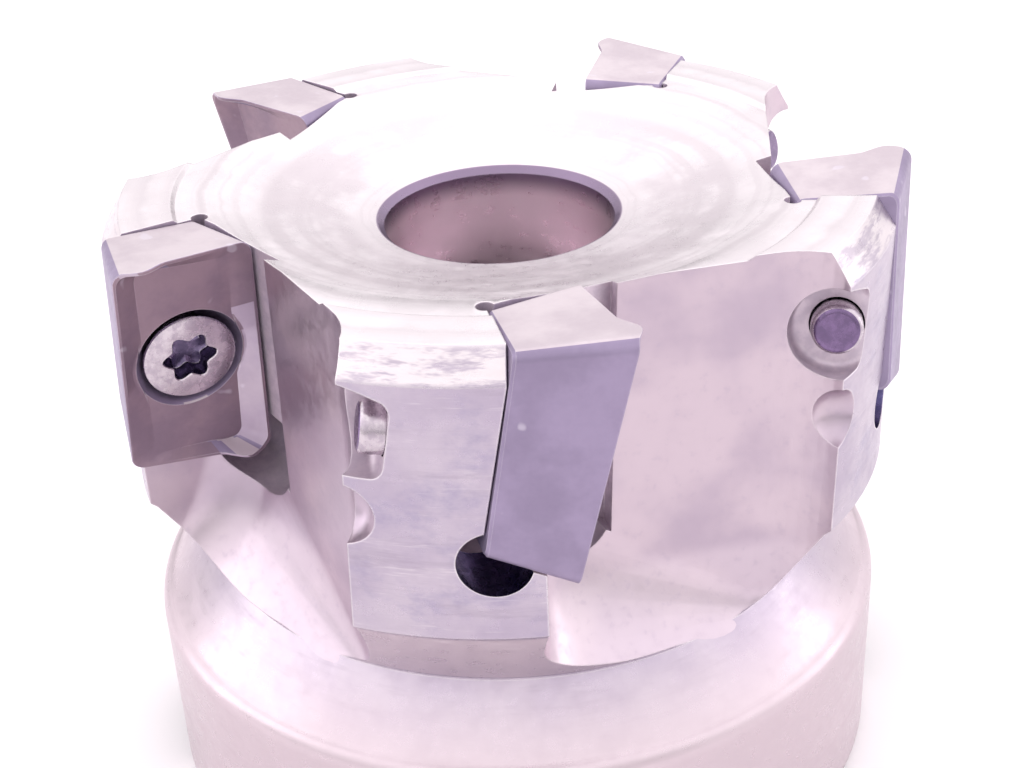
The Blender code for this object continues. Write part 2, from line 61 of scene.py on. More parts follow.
# Sizes of the CAD solids that the finer pieces stand for
CUTTING_RADIUS = 25.0 * MM
HEIGHT = 40.0 * MM
TEETH = 5
FIRST_TOOTH_AZIMUTH = radians(279.0)
FIT = 0.09 * MM                    # seats drawn closer than the CAD clearance
OVERCUT = 4.0 * MM
TURNING_STEPS = 192
FRONT_DROP = 0.5 * MM
LAND_RADIUS = 23.9 * MM
FRONT_CHAMFER_WIDTH = 1.2 * MM
FRONT_CHAMFER_HEIGHT = 1.8 * MM
FACE_RING_RADIUS = 19.4 * MM
FACE_STEP = 0.25 * MM
DISH_RADIUS = 17.4 * MM
DISH_RING_RADIUS = 14.9 * MM
DISH_RING_DROP = 1.1 * MM
BORE_RIM_DROP = 3.35 * MM
BORE_RIM_CHAMFER = 0.4 * MM
COUNTERBORE_RADIUS = 7.1 * MM
COUNTERBORE_DEPTH = 10.0 * MM
SCREW_HOLE_RADIUS = 4.5 * MM
ARBOR_BORE_RADIUS = 8.0 * MM
ARBOR_BORE_DEPTH = 19.0 * MM
ARBOR_BORE_CHAMFER = 0.6 * MM
HUB_RADIUS = 24.0 * MM
HUB_BACK_CHAMFER = 0.8 * MM
LEDGE_EDGE_RADIUS = 23.3 * MM
LEDGE_EDGE_HEIGHT = 12.7 * MM
SHOULDER_DROP = 1.05 * MM
GROOVE_RADIUS = 19.9 * MM
GROOVE_FLOOR_HEIGHT = 16.2 * MM
UNDERSIDE_HEIGHT = 16.75 * MM
LAND_BOTTOM_HEIGHT = 21.9 * MM
LAND_BOTTOM_CHAMFER = 0.4 * MM
DRIVE_SLOT_WIDTH = 8.4 * MM
DRIVE_SLOT_DEPTH = 5.6 * MM
INSERT_WIDTH = 8.7 * MM
INSERT_LENGTH = 14.7 * MM
INSERT_SKEW = 0.55 * MM
INSERT_THICKNESS = 5.9 * MM
EDGE_DROP = 0.95 * MM
NOSE_RADIUS = 0.8 * MM
RELIEF = tan(radians(13.0))
CHIP_LIP = 0.6 * MM
CHIP_LIP_OFFSET = 2.7 * MM
CHIP_LIP_HALF_WIDTH = 1.6 * MM
CHIP_LIP_LENGTH = 1.4 * MM
SIDE_FACET_WIDTH = 1.5 * MM
END_FACET_WIDTH = 0.8 * MM
ISLAND_RIM = 0.15 * MM
ISLAND_DROP = 0.95 * MM
RADIAL_RAKE = radians(3.8)
AXIAL_RAKE = radians(9.9)
SCREW_LEAN = tan(radians(4.7))
HEAD_RADIUS = 2.75 * MM
HEAD_CLEARANCE = 0.45 * MM
HEAD_RIM = 0.15 * MM
HEAD_CONE = radians(30.0)
SHANK_RADIUS = 1.45 * MM
SCREW_LENGTH = 11.6 * MM
SCREW_END_CHAMFER = 0.45 * MM
RECESS_RADIUS = 1.6 * MM
RECESS_DEPTH = 1.2 * MM
RECESS_LOBES = 6
RECESS_WAVE = 0.22 * MM
RECESS_TAPER = 0.15 * MM
EXIT_RADIUS = 2.15 * MM
EXIT_FLOOR = 10.2 * MM
EXIT_MOUTH_RADIUS = 2.7 * MM
EXIT_REACH = 20.0 * MM
SCALLOP_RADIUS = 1.9 * MM
SCALLOP_BELOW_TIP = 12.8 * MM
SCALLOP_BEHIND_TIP = 13.2 * MM
SCALLOP_REACH = 5.0 * MM
POCKET_DRAFT = tan(radians(14.0))
POCKET_OPENING = 1.2 * MM
POCKET_OPENING_SLOPE = 0.16
CORNER_HOLE_RADIUS = 2.0 * MM
CORNER_HOLE_BELOW_END = 0.3 * MM
CORNER_HOLE_ABOVE_SEAT = 0.8 * MM
CORNER_GROOVE_RADIUS = 0.5 * MM
CORNER_RELIEF_RADIUS = 2.4 * MM
CORNER_RELIEF_BESIDE = 0.4 * MM
CORNER_RELIEF_BELOW = 0.1 * MM
CORNER_RELIEF_REACH = 0.8 * MM
GULLET_DEPTH = 8.3 * MM
GULLET_BACK = 4.9 * MM
GULLET_NEAR_RADIUS = 3.0 * MM
GULLET_FAR_START = 10.0 * MM
GULLET_FAR_RADIUS = 5.0 * MM
GULLET_CLOSING = 0.035
FLOOR_HEIGHT = 15.1 * MM
FLOOR_RADIUS = 12.5 * MM
FLOOR_TIGHTENING = 0.68
LEAST_FLOOR_RADIUS = 2.5 * MM
ARC_STEPS = 12

# Fine forms that the CAD solids leave plain
HONE_RADIUS = 0.06 * MM
EDGE_LAND = 0.2 * MM
FACET_END = 0.92
FOOT_CHAMFER = 0.15 * MM
COUNTERSINK_CHAMFER = 0.12 * MM
RECESS_RIM = 0.06 * MM
RECESS_FLOOR = 0.5 * MM
THREAD_PITCH = 0.5 * MM
THREAD_DEPTH = 0.24 * MM
THREAD_RUNOUT = 0.6 * MM
THREAD_STEEPNESS = 1.25
THREAD_STEPS = 10
PILOT_LENGTH = 1.3 * MM

# Steps of the round forms, and the sharpest bends that are still shaded smooth
HOLE_STEPS = 64
SMALL_HOLE_STEPS = 48
GROOVE_STEPS = 24
NOSE_STEPS = 8
EDGE_STEPS = 24
HONE_STEPS = 4
STEPS_PER_LOBE = 16
SCREW_END_STEPS = 5
WELD_DISTANCE = 0.001 * MM
BODY_SMOOTH = radians(24.0)
INSERT_SMOOTH = radians(20.0)
SCREW_SMOOTH = radians(28.0)

# Which finish a face takes: its least or greatest tilt, or its height
TOP_FACE_TILT = radians(45.0)
FACET_TILT = radians(12.0)
END_FACE_TILT = radians(60.0)
SCREW_END_BAND = SCREW_END_CHAMFER / 8

# Where one finish of the steel, or a painted shade or light on it, passes into the next: start
# and end of each blend
BORE_RIM_HEIGHT = HEIGHT - BORE_RIM_DROP
CHAMFER_FOOT_HEIGHT = HEIGHT - FRONT_DROP - FRONT_CHAMFER_HEIGHT
LAND_BLEND = (LAND_RADIUS - 0.7 * MM, LAND_RADIUS - 0.2 * MM)
HUB_BLEND = (UNDERSIDE_HEIGHT + 0.25 * MM, LEDGE_EDGE_HEIGHT - 0.7 * MM)
FRONT_HEIGHT_BLEND = (BORE_RIM_HEIGHT - 1.15 * MM, BORE_RIM_HEIGHT - 0.45 * MM)
FRONT_RADIUS_BLEND = (LAND_RADIUS - 1.0 * MM, LAND_RADIUS - 1.3 * MM)
DISH_INNER_BLEND = (COUNTERBORE_RADIUS + 0.9 * MM, COUNTERBORE_RADIUS + 2.9 * MM)
DISH_OUTER_BLEND = (DISH_RING_RADIUS + 0.6 * MM, DISH_RING_RADIUS - 1.4 * MM)
UNDERSIDE_LOW_BLEND = (UNDERSIDE_HEIGHT - 0.35 * MM, UNDERSIDE_HEIGHT + 0.05 * MM)
UNDERSIDE_HIGH_BLEND = (LAND_BOTTOM_HEIGHT + 0.2 * MM, LAND_BOTTOM_HEIGHT - 0.2 * MM)
BORE_BLEND = (COUNTERBORE_RADIUS + 0.52 * MM, COUNTERBORE_RADIUS + 0.42 * MM)
BORE_MOUTH_BLEND = (BORE_RIM_HEIGHT - 2.05 * MM, BORE_RIM_HEIGHT - 0.45 * MM)
CHAMFER_RADIUS_BLEND = (LAND_RADIUS - 1.3 * MM, LAND_RADIUS - 1.1 * MM)
CHAMFER_HEIGHT_BLEND = (CHAMFER_FOOT_HEIGHT - 0.1 * MM, CHAMFER_FOOT_HEIGHT + 0.2 * MM)
GULLET_FOOT_BLEND = (LAND_BOTTOM_HEIGHT - 0.3 * MM, LAND_BOTTOM_HEIGHT - 1.7 * MM)
TURNING_PITCH = 0.11 * MM
BAND_WANDER = 1.6 * MM
RELIEF_DEPTH = 0.02 * MM
HEAD_EDGE_RADIUS = 0.12 * MM
HUB_EDGE_RADIUS = 0.7 * MM
POCKET_EDGE_RADIUS = 0.08 * MM
# Reach of the lightened edges, which are partly wear and partly painted highlight.
TURNED_WEAR_AND_HIGHLIGHT_REACH = 0.18 * MM
MILLED_WEAR_AND_HIGHLIGHT_REACH = 0.12 * MM
POCKET_WEAR_AND_HIGHLIGHT_REACH = 0.15 * MM
FINE_WEAR_AND_HIGHLIGHT_REACH = 0.10 * MM
CARBIDE_RELIEF_DEPTH = 0.012 * MM
BARE_RELIEF_DEPTH = 0.015 * MM

# Colours; where there are two, the finish runs between them in soft clouds
LAND_COLOURS = ((0.53, 0.47, 0.54), (0.45, 0.39, 0.48))
LAND_PATCH_COLOUR = (0.35, 0.31, 0.43)
LAND_STREAK_COLOUR = (0.72, 0.67, 0.70)
TURNING_MARK_COLOUR = (0.36, 0.31, 0.38)
HUB_COLOURS = ((0.66, 0.56, 0.60), (0.59, 0.50, 0.54))
FRONT_COLOURS = ((0.84, 0.79, 0.81), (0.75, 0.70, 0.72))
FRONT_BAND_COLOUR = (0.66, 0.605, 0.63)
# Painted shade: a darker colour laid in patches over the dish of the front face.
DISH_PAINTED_SHADE_COLOUR = (0.65, 0.59, 0.62)
# Painted light: a lighter band on the underside below the teeth, standing for light reflected up
# from the ledge.
UNDERSIDE_PAINTED_LIGHT_COLOUR = (0.76, 0.68, 0.72)
BORE_COLOURS = ((0.95, 0.84, 0.89), (0.88, 0.78, 0.83))
# Painted shade: a dark ring on the bore's rim chamfer.
BORE_MOUTH_PAINTED_SHADE_COLOUR = (0.26, 0.20, 0.29)
CHAMFER_COLOUR = (0.76, 0.70, 0.72)
MILLED_COLOURS = ((0.58, 0.485, 0.54), (0.465, 0.385, 0.46))
# Painted light: the gullets grow lighter towards their foot, standing for a bright reflection on
# the shelf.
GULLET_FOOT_PAINTED_LIGHT_COLOUR = (0.74, 0.64, 0.69)
POCKET_COLOURS = ((0.66, 0.57, 0.64), (0.56, 0.48, 0.56))
# Painted shade: very dark colours inside the drilled holes.
HOLE_PAINTED_SHADE_COLOURS = ((0.15, 0.13, 0.28), (0.09, 0.08, 0.19))
FLANK_COLOURS = ((0.33, 0.27, 0.40), (0.27, 0.22, 0.33))
RAKE_COLOURS = ((0.33, 0.235, 0.28), (0.25, 0.18, 0.235))
# Painted light: a lighter copy of the carbide for the insert's upward end faces.
CARBIDE_END_PAINTED_LIGHT_COLOURS = ((0.64, 0.57, 0.60), (0.54, 0.47, 0.51))
# Painted light: a lighter copy of the carbide for the facet on the inner side.
FACET_PAINTED_LIGHT_COLOURS = ((0.52, 0.44, 0.52), (0.44, 0.36, 0.46))
SCREW_COLOURS = ((0.60, 0.54, 0.58), (0.46, 0.40, 0.46))
# Painted shade: the screws' flat ends are dark, standing for a dark reflection in the shaded
# recess around them.
SCREW_END_PAINTED_SHADE_COLOURS = ((0.22, 0.15, 0.28), (0.17, 0.12, 0.22))
# Painted shade: the six-lobe recesses in the screw heads are dark.
RECESS_PAINTED_SHADE_COLOURS = ((0.20, 0.16, 0.26), (0.12, 0.10, 0.17))
MILLED_SPECK_COLOUR = (0.45, 0.38, 0.47)
CARBIDE_SPECK_COLOUR = (0.72, 0.67, 0.76)
# Edge colours: partly worn plating, partly a painted highlight along every edge.
TURNED_WEAR_AND_HIGHLIGHT_COLOUR = (0.86, 0.82, 0.83)
MILLED_WEAR_AND_HIGHLIGHT_COLOUR = (0.80, 0.74, 0.77)
POCKET_WEAR_AND_HIGHLIGHT_COLOUR = (0.90, 0.86, 0.88)
CARBIDE_WEAR_AND_HIGHLIGHT_COLOUR = (0.80, 0.75, 0.80)
BARE_WEAR_AND_HIGHLIGHT_COLOUR = (0.88, 0.84, 0.86)
FLOOR_COLOURS = ((0.88, 0.86, 0.87), (0.91, 0.89, 0.90))

# Surroundings. A ramp is an axis of the direction looked in, its start and end, and the
# strength at each. A light is its name, place, target, size, power and colour.
FLOOR_HALF_WIDTH = 1.5
SKY_COLOUR = (1.0, 0.965, 0.99)
SKY_RAMPS = (
    (2, 0.02, 0.34, 0.48, 1.18),
    (2, 0.45, 0.72, 0.0, 0.32),
    (1, 0.1, 0.8, 0.0, 0.08),
    (0, -0.25, -0.9, 0.0, 0.30),
    (0, 0.45, 0.95, 0.0, 0.50),
)
LIGHTS = (
    ("overhead", (0.02, 0.10, 0.30), (0.0, 0.0, 0.03), 0.25, 0.055, (1.0, 0.97, 0.99)),
    ("left", (-0.25, 0.02, 0.14), (0.0, 0.0, 0.02), 0.18, 0.04, (1.0, 0.96, 1.0)),
    ("low_left", (-0.25, 0.06, 0.05), (-0.02, -0.01, 0.01), 0.10, 0.035, (1.0, 0.98, 1.0)),
    ("low_right", (0.26, -0.01, 0.06), (0.02, -0.01, 0.01), 0.10, 0.035, (1.0, 0.98, 1.0)),
)

# The photograph's viewpoint
CAMERA_PLACE = Vector((-10.3408, -93.6656, 77.5081)) * MM
CAMERA_TURN = (radians(60.5686), radians(2.4873), radians(-7.8653))
CAMERA_LENS = 58.3
CAMERA_SENSOR = 36.0


# Meshes
def arc_points(centre, radius, start, end, steps):
    angles = [start + (end - start) * i / steps for i in range(steps + 1)]
    return [(centre[0] + radius * cos(a), centre[1] + radius * sin(a)) for a in angles]


def loft_mesh(name, rings, closed_round=False):
    mesh = bpy.data.meshes.new(name)
    bm = bmesh.new()
    loops = [[bm.verts.new(point) for point in ring] for ring in rings]
    count = len(rings[0])
    pairs = list(zip(loops, loops[1:]))
    if closed_round:
        pairs.append((loops[-1], loops[0]))
    for lower, upper in pairs:
        for i in range(count):
            j = (i + 1) % count
            bm.faces.new((lower[i], lower[j], upper[j], upper[i]))
    if not closed_round:
        bm.faces.new(list(reversed(loops[0])))
        bm.faces.new(loops[-1])
    bmesh.ops.recalc_face_normals(bm, faces=bm.faces)
    bm.to_mesh(mesh)
    bm.free()
    return mesh


def turned_mesh(name, profile, steps, closed):
    mesh = bpy.data.meshes.new(name)
    edges = [(i, i + 1) for i in range(len(profile) - 1)]
    if closed:
        edges.append((len(profile) - 1, 0))
    mesh.from_pydata([(r, 0.0, z) for r, z in profile], edges, [])
    carrier = bpy.data.objects.new(name + "_profile", mesh)
    bpy.context.scene.collection.objects.link(carrier)
    screw = carrier.modifiers.new("Turn", 'SCREW')
    screw.steps = steps
    screw.render_steps = steps
    screw.use_merge_vertices = True
    screw.merge_threshold = 10 * WELD_DISTANCE
    turned = baked(carrier, name)
    bpy.data.objects.remove(carrier, do_unlink=True)
    bm = bmesh.new()
    bm.from_mesh(turned)
    bmesh.ops.remove_doubles(bm, verts=bm.verts, dist=WELD_DISTANCE)
    bmesh.ops.recalc_face_normals(bm, faces=bm.faces)
    bm.to_mesh(turned)
    bm.free()
    return turned


def baked(item, name):
    """The mesh of an object with its modifiers applied."""
    graph = bpy.context.evaluated_depsgraph_get()
    mesh = bpy.data.meshes.new_from_object(item.evaluated_get(graph))
    mesh.name = name
    return mesh


def cylinder_mesh(name, radius, low, high, sides):
    ring = [(radius * cos(2 * pi * i / sides), radius * sin(2 * pi * i / sides))
            for i in range(sides)]
    return loft_mesh(name, [[(x, y, low) for x, y in ring], [(x, y, high) for x, y in ring]])


def frame_matrix(origin, x_axis, y_axis, z_axis):
    rotation = Matrix((x_axis, y_axis, z_axis)).transposed().to_4x4()
    return Matrix.Translation(origin) @ rotation


# Frames of a tooth
def tooth_axes(index):
    azimuth = FIRST_TOOTH_AZIMUTH + 2 * pi * index / TEETH
    tip = Vector((CUTTING_RADIUS * cos(azimuth), CUTTING_RADIUS * sin(azimuth), HEIGHT))
    outward = Vector((cos(azimuth - RADIAL_RAKE), sin(azimuth - RADIAL_RAKE), 0.0))
    forward = Vector((-outward.y, outward.x, 0.0))
    return tip, outward, forward


def insert_frame(index):
    """X inwards, Y up along the cutting edge, Z out of the rake face, origin at the nose."""
    tip, outward, forward = tooth_axes(index)
    up = Vector((0.0, 0.0, cos(AXIAL_RAKE))) + forward * sin(AXIAL_RAKE)
    return frame_matrix(tip, -outward, up, up.cross(outward))


def gullet_frame(index):
    tip, outward, forward = tooth_axes(index)
    return frame_matrix(Vector((tip.x, tip.y, 0.0)), outward, forward, Vector((0.0, 0.0, 1.0)))


def insert_centre():
    return (INSERT_WIDTH / 2, -(INSERT_LENGTH + INSERT_SKEW) / 2)


def screw_frame(index):
    x, y = insert_centre()
    axis = Vector((-SCREW_LEAN, 0.0, 1.0))
    lean = Vector((0.0, 0.0, 1.0)).rotation_difference(axis).to_matrix().to_4x4()
    return insert_frame(index) @ Matrix.Translation((x, y, -ISLAND_DROP)) @ lean


# Body
def body_profile():
    front = HEIGHT - FRONT_DROP
    rim = HEIGHT - BORE_RIM_DROP
    points = [
        (ARBOR_BORE_RADIUS + ARBOR_BORE_CHAMFER, 0.0),
        (ARBOR_BORE_RADIUS, ARBOR_BORE_CHAMFER),
        (ARBOR_BORE_RADIUS, ARBOR_BORE_DEPTH),
        (SCREW_HOLE_RADIUS, ARBOR_BORE_DEPTH),
        (SCREW_HOLE_RADIUS, rim - COUNTERBORE_DEPTH),
        (COUNTERBORE_RADIUS, rim - COUNTERBORE_DEPTH),
        (COUNTERBORE_RADIUS, rim - BORE_RIM_CHAMFER),
        (COUNTERBORE_RADIUS + BORE_RIM_CHAMFER, rim),
        (DISH_RING_RADIUS, front - DISH_RING_DROP),
        (DISH_RADIUS, front - FACE_STEP),
        (FACE_RING_RADIUS, front - FACE_STEP),
        (FACE_RING_RADIUS + FACE_STEP, front),
        (LAND_RADIUS - FRONT_CHAMFER_WIDTH, front),
        (LAND_RADIUS, front - FRONT_CHAMFER_HEIGHT),
        (LAND_RADIUS, LAND_BOTTOM_HEIGHT + LAND_BOTTOM_CHAMFER),
        (LAND_RADIUS - LAND_BOTTOM_CHAMFER, LAND_BOTTOM_HEIGHT),
        (GROOVE_RADIUS + LAND_BOTTOM_CHAMFER, UNDERSIDE_HEIGHT),
        (GROOVE_RADIUS, UNDERSIDE_HEIGHT - LAND_BOTTOM_CHAMFER),
        (GROOVE_RADIUS, GROOVE_FLOOR_HEIGHT),
        (LEDGE_EDGE_RADIUS, LEDGE_EDGE_HEIGHT),
    ]
    for i in range(1, ARC_STEPS):
        a = i / ARC_STEPS * pi / 2
        points.append((LEDGE_EDGE_RADIUS + (HUB_RADIUS - LEDGE_EDGE_RADIUS) * sin(a),
                       LEDGE_EDGE_HEIGHT - SHOULDER_DROP * (1 - cos(a))))
    points += [
        (HUB_RADIUS, LEDGE_EDGE_HEIGHT - SHOULDER_DROP),
        (HUB_RADIUS, HUB_BACK_CHAMFER),
        (HUB_RADIUS - HUB_BACK_CHAMFER, 0.0),
    ]
    return points


def pocket_feet():
    seat = -INSERT_THICKNESS - FIT
    inner = INSERT_WIDTH - RELIEF * INSERT_THICKNESS + FIT
    end = -INSERT_LENGTH - INSERT_SKEW / 2 + RELIEF * INSERT_THICKNESS - FIT
    return seat, inner, end


def pocket_cutter():
    """Room for one insert: a flat seat, an inner wall and an end wall with draft."""
    seat, inner, end = pocket_feet()
    slope = INSERT_SKEW / INSERT_WIDTH
    rings = []
    for opening, growth in ((seat, 0.0), (POCKET_OPENING, POCKET_OPENING_SLOPE)):
        low = opening - growth * end
        high = opening - growth * OVERCUT
        low_spread = POCKET_DRAFT * (low - seat)
        low_x = inner + low_spread
        high_x = inner + POCKET_DRAFT * (high - seat)
        inner_y = end - low_spread - slope * (low_x - INSERT_WIDTH / 2)
        outer_y = end - low_spread + slope * (OVERCUT + INSERT_WIDTH / 2)
        rings.append([
            (low_x, inner_y, low),
            (-OVERCUT, outer_y, low),
            (-OVERCUT, OVERCUT, high),
            (high_x, OVERCUT, high),
        ])
    return loft_mesh("pocket_cutter", rings)


def gullet_outline():
    outside = OVERCUT * 2
    near = -GULLET_BACK
    points = [(outside, near)]
    points += arc_points((-GULLET_DEPTH + GULLET_NEAR_RADIUS, near + GULLET_NEAR_RADIUS),
                         GULLET_NEAR_RADIUS, -pi / 2, -pi, ARC_STEPS)
    centre = (-GULLET_DEPTH + GULLET_FAR_RADIUS, GULLET_FAR_START)
    points += arc_points(centre, GULLET_FAR_RADIUS, pi, pi / 2, ARC_STEPS)
    points.append((outside, GULLET_FAR_START + GULLET_FAR_RADIUS))
    return points


def gullet_cutter():
    """The gullet's section swept down the tool, then outwards round a floor whose bend gets
    tighter towards the far wall."""
    top = HEIGHT + OVERCUT
    outline = gullet_outline()
    rings = [[(x, y, top) for x, y in outline]]
    bend_steps = ARC_STEPS * 2
    for i in range(bend_steps + 1):
        a = i / bend_steps * pi / 2
        ring = []
        for x, y in outline:
            ahead = y + GULLET_BACK
            bend = max(LEAST_FLOOR_RADIUS, FLOOR_RADIUS - FLOOR_TIGHTENING * ahead)
            height = FLOOR_HEIGHT + bend * (1 - sin(a))
            drawn = y - GULLET_CLOSING * (top - height) * ahead / (GULLET_FAR_START + GULLET_BACK)
            ring.append((x + bend * (1 - cos(a)), drawn, height))
        rings.append(ring)
    return loft_mesh("gullet_cutter", rings)


def screw_exit_cutter():
    """The recess at the screw's end, with a round corner at its floor."""
    round_corner = EXIT_MOUTH_RADIUS - EXIT_RADIUS
    profile = [(0.0, -EXIT_FLOOR)]
    profile += arc_points((EXIT_RADIUS, -EXIT_FLOOR - round_corner), round_corner, pi / 2, 0.0,
                          ARC_STEPS)
    profile += [(EXIT_MOUTH_RADIUS, -EXIT_REACH), (0.0, -EXIT_REACH)]
    return turned_mesh("screw_exit_cutter", profile, HOLE_STEPS, False)


def scallop_cutter():
    profile = arc_points((0.0, 0.0), SCALLOP_RADIUS, pi / 2, 0.0, ARC_STEPS)
    profile[0] = (0.0, SCALLOP_RADIUS)
    reach = SCALLOP_REACH + OVERCUT
    profile += [(SCALLOP_RADIUS, -reach), (0.0, -reach)]
    return turned_mesh("scallop_cutter", profile, SMALL_HOLE_STEPS, False)


def corner_relief_cutter():
    """A ball-ended cutter that stands on the seat, along Z."""
    seat = pocket_feet()[0]
    profile = arc_points((0.0, CORNER_RELIEF_REACH), CORNER_RELIEF_RADIUS, pi / 2, 0.0, ARC_STEPS)
    profile[0] = (0.0, CORNER_RELIEF_REACH + CORNER_RELIEF_RADIUS)
    floor = seat - CORNER_GROOVE_RADIUS
    profile += [(CORNER_RELIEF_RADIUS, floor), (0.0, floor)]
    return turned_mesh("corner_relief_cutter", profile, HOLE_STEPS, False)


def add_cutter(name, mesh, collection, matrix):
    item = bpy.data.objects.new(name, mesh)
    collection.objects.link(item)
    item.matrix_world = matrix
    item.hide_render = True


def build_cutters(collection, gullet_finish, pocket_finish, hole_shade_finish):
    pocket = pocket_cutter()
    gullet = gullet_cutter()
    seat, inner, end = pocket_feet()
    corner_hole = cylinder_mesh("corner_hole_cutter", CORNER_HOLE_RADIUS, -OVERCUT, inner + FIT,
                                HOLE_STEPS)
    corner_groove = cylinder_mesh("corner_groove_cutter", CORNER_GROOVE_RADIUS, end, OVERCUT,
                                  GROOVE_STEPS)
    screw_hole = cylinder_mesh("screw_hole_cutter", SHANK_RADIUS + FIT, -EXIT_FLOOR - FIT, 0.0,
                               SMALL_HOLE_STEPS)
    screw_exit = screw_exit_cutter()
    scallop = scallop_cutter()
    corner_relief = corner_relief_cutter()
    for mesh in (gullet, scallop):
        mesh.materials.append(gullet_finish)
    for mesh in (pocket, corner_groove, corner_relief, screw_exit):
        mesh.materials.append(pocket_finish)
    # The drilled holes take the finish with painted shade.
    for mesh in (corner_hole, screw_hole):
        mesh.materials.append(hole_shade_finish)
    along_x = Matrix.Rotation(pi / 2, 4, 'Y')
    along_y = Matrix.Rotation(-pi / 2, 4, 'X')
    hole_place = Matrix.Translation((0.0, end - CORNER_HOLE_BELOW_END,
                                     seat + CORNER_HOLE_ABOVE_SEAT))
    groove_place = Matrix.Translation((inner, 0.0, seat))
    scallop_place = Matrix.Translation((SCALLOP_REACH, -SCALLOP_BELOW_TIP, -SCALLOP_BEHIND_TIP))
    relief_place = Matrix.Translation((INSERT_WIDTH - CORNER_RELIEF_BESIDE,
                                       -INSERT_LENGTH - INSERT_SKEW - CORNER_RELIEF_BELOW, 0.0))
    for index in range(TEETH):
        tooth = insert_frame(index)
        screw = screw_frame(index)
        for label, mesh, matrix in (
                ("pocket", pocket, tooth),
                ("gullet", gullet, gullet_frame(index)),
                ("corner_hole", corner_hole, tooth @ hole_place @ along_x),
                ("corner_groove", corner_groove, tooth @ groove_place @ along_y),
                ("corner_relief", corner_relief, tooth @ relief_place),
                ("screw_hole", screw_hole, screw),
                ("screw_exit", screw_exit, screw),
                ("scallop", scallop, tooth @ scallop_place @ along_x)):
            add_cutter(label + "_cutter_" + str(index + 1), mesh, collection, matrix)
    slot = bpy.data.meshes.new("drive_slot_cutter")
    bm = bmesh.new()
    slot_length = 2 * (HUB_RADIUS + OVERCUT)
    size = Matrix.Diagonal((slot_length, DRIVE_SLOT_WIDTH, 2 * DRIVE_SLOT_DEPTH, 1.0))
    bmesh.ops.create_cube(bm, size=1.0, matrix=size)
    bm.to_mesh(slot)
    bm.free()
    slot.materials.append(gullet_finish)
    add_cutter("drive_slot_cutter", slot, collection, Matrix.Identity(4))


def shaded(mesh, angle):
    """The mesh with its curved faces shaded smooth and its flat faces kept flat."""
    mesh.shade_smooth()
    mesh.set_sharp_from_angle(angle=angle)
    carrier = bpy.data.objects.new("shaded", mesh)
    bpy.context.scene.collection.objects.link(carrier)
    weighted = carrier.modifiers.new("Flat faces", 'WEIGHTED_NORMAL')
    weighted.keep_sharp = True
    result = baked(carrier, mesh.name + "_shaded")
    bpy.data.objects.remove(carrier, do_unlink=True)
    return result


def build_body(turned_finish, gullet_finish, pocket_finish, hole_shade_finish):
    """The turned blank with the teeth and the drive slot cut out of it."""
    cutters = bpy.data.collections.new("cutters")
    bpy.context.scene.collection.children.link(cutters)
    build_cutters(cutters, gullet_finish, pocket_finish, hole_shade_finish)
    blank = turned_mesh("body_blank", body_profile(), TURNING_STEPS, True)
    blank.materials.append(turned_finish)
    carrier = bpy.data.objects.new("body_blank", blank)
    bpy.context.scene.collection.objects.link(carrier)
    cut = carrier.modifiers.new("Milled", 'BOOLEAN')
    cut.operation = 'DIFFERENCE'
    cut.solver = 'EXACT'
    cut.material_mode = 'TRANSFER'
    cut.operand_type = 'COLLECTION'
    cut.collection = cutters
    milled = baked(carrier, "milled_body")
    bpy.data.objects.remove(carrier, do_unlink=True)
    for item in list(cutters.objects):
        bpy.data.objects.remove(item, do_unlink=True)
    bpy.data.collections.remove(cutters)
    mesh = shaded(milled, BODY_SMOOTH)
    piece = bpy.data.objects.new("milled_body", mesh)
    bpy.context.scene.collection.objects.link(piece)
    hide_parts("body")
    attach(piece, "root")


# Insert
def insert_outline():
    """The insert's rounded rectangle about its own centre."""
    half_width = INSERT_WIDTH / 2
    half_length = INSERT_LENGTH / 2
    sides = ((1, 1, 0), (-1, 1, 1), (-1, -1, 2), (1, -1, 3))
    points = []
    for index, (sx, sy, quarter) in enumerate(sides):
        centre = (sx * (half_width - NOSE_RADIUS), sy * (half_length - NOSE_RADIUS))
        start = quarter * pi / 2
        points += arc_points(centre, NOSE_RADIUS, start, start + pi / 2, NOSE_STEPS)
        next_x, next_y = sides[(index + 1) % 4][:2]
        start_point = points[-1]
        if quarter % 2 == 0:
            end_point = (next_x * (half_width - NOSE_RADIUS), sy * half_length)
        else:
            end_point = (sx * half_width, next_y * (half_length - NOSE_RADIUS))
        for i in range(1, EDGE_STEPS):
            share = i / EDGE_STEPS
            points.append((start_point[0] + (end_point[0] - start_point[0]) * share,
                           start_point[1] + (end_point[1] - start_point[1]) * share))
    return points


def edge_height(u, v):
    """Height of the cutting edge: it falls along the insert and rises to a lip at each end."""
    twist = (u / (INSERT_WIDTH / 2)) * (v / (INSERT_LENGTH / 2))
    height = -EDGE_DROP / 2 * (1 - twist)
    along = u if v > 0 else -u
    near_end = max(0.0, 1 - (INSERT_LENGTH / 2 - abs(v)) / CHIP_LIP_LENGTH)
    lip = max(0.0, 1 - abs(along - CHIP_LIP_OFFSET) / CHIP_LIP_HALF_WIDTH)
    return height + CHIP_LIP * near_end * lip * lip * (3 - 2 * lip)


def insert_point(u, v, side_inset, end_inset, height):
    """A point of the insert, moved in from its long sides and ends and skewed into its
    parallelogram."""
    scale_u = (INSERT_WIDTH / 2 - side_inset) / (INSERT_WIDTH / 2)
    scale_v = (INSERT_LENGTH / 2 - end_inset) / (INSERT_LENGTH / 2)
    x, y = insert_centre()
    outward = u * scale_u
    return (x - outward, y + v * scale_v + INSERT_SKEW * outward / INSERT_WIDTH, height)


